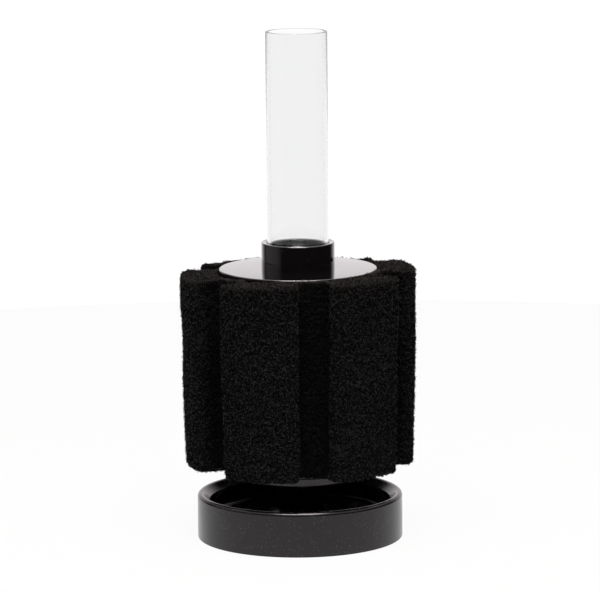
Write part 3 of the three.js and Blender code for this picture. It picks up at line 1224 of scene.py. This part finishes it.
    def _open_cells(
        self, points: np.ndarray, normals: np.ndarray, seen: np.ndarray
    ) -> tuple[np.ndarray, np.ndarray]:
        """Moves the surface out at the strands and in at the cells.

        Args:
            points: the smooth surface.
            normals: its outward normals.
            seen: how much each point may move, from 0 to 1.

        Returns:
            The moved points, and how much of a strand each one is.
        """
        bends = [soft_noise(points, self.warp_pitch, self.warp_seed + k) for k in range(3)]
        moved = points + self.warp * np.stack(bends, axis=-1)
        nearest, second = cell_distances(moved, self.cell, self.cell_seed)
        strand = np.exp(-(((second - nearest) / self.strand_width) ** 2))
        torn = 0.5 + 0.5 * soft_noise(points, self.tear_pitch, self.tear_seed)
        height = self.strand_height * strand * (0.35 + 0.65 * torn) - self.pit_depth * (1 - strand)
        height += self.sway * soft_noise(points, self.sway_pitch, self.sway_seed)
        return points + normals * (height * seen)[:, None], strand * (0.4 + 0.6 * torn)

    def _loops(
        self, points: np.ndarray, normals: np.ndarray, seen: np.ndarray
    ) -> tuple[np.ndarray, np.ndarray, np.ndarray]:
        """Strands that bow out of the surface between neighbouring cells.

        Args:
            points: the block's surface.
            normals: its outward normals.
            seen: how much each point is in view, from 0 to 1.

        Returns:
            The strands' points, their quads, and the surface point that each of their points
            springs from.
        """
        pick = np.random.default_rng(self.loop_seed)
        chosen = pick.choice(np.flatnonzero(seen >= 1), self.loops, replace=False)
        out = normals[chosen]
        along = np.cross(out, pick.normal(size=out.shape))
        along /= np.linalg.norm(along, axis=1, keepdims=True)
        across = np.cross(out, along)
        half = self.loop_length * pick.uniform(0.3, 0.65, (self.loops, 1))
        bow = self.loop_height * pick.uniform(0.25, 1.0, (self.loops, 1))
        lean = self.loop_length * pick.uniform(-0.2, 0.2, (self.loops, 1))
        sides, thick = self.loop_sides, self.loop_thickness
        rings = []
        for u in np.linspace(-1, 1, self.loop_stations):
            arch = 1 - u * u
            middle = points[chosen] + along * half * u + across * lean * arch
            middle = middle + out * (bow * arch - 1.5 * thick)
            for k in range(sides):
                a = 2 * math.pi * k / sides
                rings.append(middle + thick * (out * math.cos(a) + across * math.sin(a)))
        made = np.stack(rings, axis=1)
        quads = ring_faces(self.loop_stations, sides, False)
        first = np.arange(self.loops)[:, None, None] * made.shape[1]
        roots = np.repeat(chosen, made.shape[1])
        return made.reshape(-1, 3), (quads[None] + first).reshape(-1, 4), roots

    def build(self) -> None:
        """Builds, dresses and places the foam."""
        piece = place(self.block(), Body.SPONGE, FOAM_BLACK, "sponge")


@dataclass
class Cap:
    """The glossy disc with its collar and the spigot that plugs into the core."""

    disc_bottom: float = 113.5 * MM
    disc_top: float = 115.2 * MM
    collar_radius: float = 15.5 * MM
    bore: float = 13.2 * MM
    seat: float = 114.5 * MM
    spigot_radius: float = 12.85 * MM
    spigot_bore: float = 11.35 * MM
    mouth_fall: float = 0.4 * MM

    def build(self) -> None:
        """Builds, dresses and places the cap, whose collar falls a little towards its bore."""
        radius, bottom, top = span("top_cap")
        corners = [
            Corner(self.spigot_bore, bottom, 0.3 * MM),
            Corner(self.spigot_radius, bottom, 0.6 * MM),
            Corner(self.spigot_radius, self.disc_bottom, 0.4 * MM),
            Corner(radius, self.disc_bottom, 0.5 * MM),
            Corner(radius, self.disc_top, 0.5 * MM),
            Corner(self.collar_radius, self.disc_top),
            Corner(self.collar_radius, top, 0.5 * MM),
            Corner(self.bore, top - self.mouth_fall, 0.5 * MM),
            Corner(self.bore, self.seat, 0.2 * MM),
            Corner(self.spigot_bore, self.seat, 0.2 * MM),
        ]
        place(turned("top_cap_moulded", corners), Body.CAP, CAP_GLOSS, "top_cap")


@dataclass
class Riser:
    """The clear pipe, cut square at both ends."""

    wall: float = 1.5 * MM
    edge: float = 0.12 * MM

    def build(self) -> None:
        """Builds, dresses and places the pipe."""
        radius, bottom, top = span("riser_tube")
        inner = radius - self.wall
        corners = [
            Corner(inner, bottom, self.edge),
            Corner(radius, bottom, self.edge),
            Corner(radius, top, self.edge),
            Corner(inner, top, self.edge),
        ]
        place(turned("riser_pipe", corners), Body.RISER, RISER_CLEAR, "riser_tube")


# ---------------------------------------------------------------- studio


@dataclass
class Studio:
    """Pale floor, soft surrounding light and the camera."""

    floor_radius: float = 0.6
    floor_glow: float = 0.93
    floor_colour: float = 0.03
    white: float = 1.06
    dark: float = 0.02
    reflected_tone: Colour = (1.0, 0.95, 0.965)
    side_glow: float = 0.26
    lamp_height: float = 1.3
    lamp_forward: float = 0.6
    lamp_tone: Colour = (1.0, 0.975, 0.945)
    lamp_size: float = 0.95
    lamp_power: float = 38.0
    distance: float = 1.7465
    elevation: float = 9.576
    roll: float = 0.466
    aim_share: float = 0.479
    aside: float = 0.7 * MM
    lens: float = 248.27

    def floor(self) -> None:
        """Lays the round floor under the object."""
        points = np.array([[0.0, 0.0, 0.0]])
        sides = 96
        angle = np.linspace(0, 2 * math.pi, sides, endpoint=False)
        rim = self.floor_radius * np.stack([np.cos(angle), np.sin(angle), 0 * angle], axis=-1)
        mesh = bpy.data.meshes.new("floor")
        fan = [(0, 1 + i, 1 + (i + 1) % sides) for i in range(sides)]
        mesh.from_pydata(np.vstack([points, rim]).tolist(), [], fan)
        floor = linked("floor", mesh)
        made = bpy.data.materials.new("floor_white")
        made.use_nodes = True
        shader = made.node_tree.nodes["Principled BSDF"]
        shader.inputs["Base Color"].default_value = (self.floor_colour,) * 3 + (1.0,)
        shader.inputs["Roughness"].default_value = 0.9
        shader.inputs["Specular IOR Level"].default_value = 0.0
        shader.inputs["Emission Color"].default_value = (*WHITE, 1.0)
        shader.inputs["Emission Strength"].default_value = self.floor_glow
        floor.data.materials.append(made)

    def surroundings(self) -> None:
        """Makes a white studio, dark low down except behind and, dimly, at the left.

        What the object reflects of it is a touch pinker than what is seen directly.
        """
        world = bpy.data.worlds.new("studio")
        world.use_nodes = True
        bpy.context.scene.world = world
        nodes = NodeTree(world.node_tree)
        nodes.tree.nodes.clear()
        position = nodes.add("ShaderNodeTexCoord")
        axes = nodes.add("ShaderNodeSeparateXYZ")
        nodes.join(position.outputs["Generated"], axes.inputs["Vector"])
        behind = nodes.remap(axes.outputs["Y"], 0.5, 0.98, self.dark, self.white)
        overhead = nodes.remap(axes.outputs["Z"], 0.25, 0.75, 0.0, self.white)
        beside = nodes.remap(axes.outputs["X"], -0.98, -0.72, self.side_glow, 0.0)
        level = nodes.maths("MAXIMUM", nodes.maths("MAXIMUM", behind, beside), overhead)
        path = nodes.add("ShaderNodeLightPath")
        seen, through = path.outputs["Is Camera Ray"], path.outputs["Is Transmission Ray"]
        direct = nodes.maths("MAXIMUM", seen, through)
        shown = nodes.maths("MAXIMUM", level, nodes.maths("MULTIPLY", direct, self.white))
        background = nodes.add("ShaderNodeBackground")
        tone = nodes.mix(direct, self.reflected_tone, WHITE)
        nodes.join(tone, background.inputs["Color"])
        nodes.join(shown, background.inputs["Strength"])
        output = nodes.add("ShaderNodeOutputWorld")
        nodes.join(background.outputs["Background"], output.inputs["Surface"])

    def lamp(self) -> None:
        """Hangs the broad lamp over the object, towards the front."""
        data = bpy.data.lights.new("softbox", "AREA")
        data.size = self.lamp_size
        data.energy = self.lamp_power
        data.color = self.lamp_tone
        lamp = linked("softbox", data)
        lamp.location = (0.0, -self.lamp_forward, self.lamp_height)

    def camera(self) -> None:
        """Sets the camera a little above the object, looking along +Y."""
        low, high = Vector(cad_box[0]), Vector(cad_box[1])
        aim = Vector((self.aside, 0, low.z + self.aim_share * (high.z - low.z)))
        tilt = math.radians(self.elevation)
        spin = math.radians(self.roll)
        ahead = Vector((0, math.cos(tilt), -math.sin(tilt)))
        right = Vector((1, 0, 0))
        up = right.cross(ahead)
        across = right * math.cos(spin) - up * math.sin(spin)
        upright = right * math.sin(spin) + up * math.cos(spin)
        data = bpy.data.cameras.new("camera")
        data.lens = self.lens
        data.sensor_width = 36.0
        data.clip_start = 0.05
        data.clip_end = 20.0
        camera = linked("camera", data)
        turn = Matrix((across, upright, -ahead)).transposed().to_4x4()
        camera.matrix_world = Matrix.Translation(aim - ahead * self.distance) @ turn
        bpy.context.scene.camera = camera

    def build(self) -> None:
        """Sets up the floor, the light and the camera."""
        self.camera()
        self.floor()
        self.lamp()
        self.surroundings()
        bpy.context.scene.view_settings.view_transform = "Standard"


def main() -> None:
    """Builds the filter and its studio."""
    logging.basicConfig(level=logging.INFO, format="%(name)s %(message)s")
    Studio().build()
    for assembly in (WeightedBase(), Core(), FoamBlock(), Cap(), Riser()):
        assembly.build()
        log.info("%s done", type(assembly).__name__)


if __name__ == "__main__":
    main()
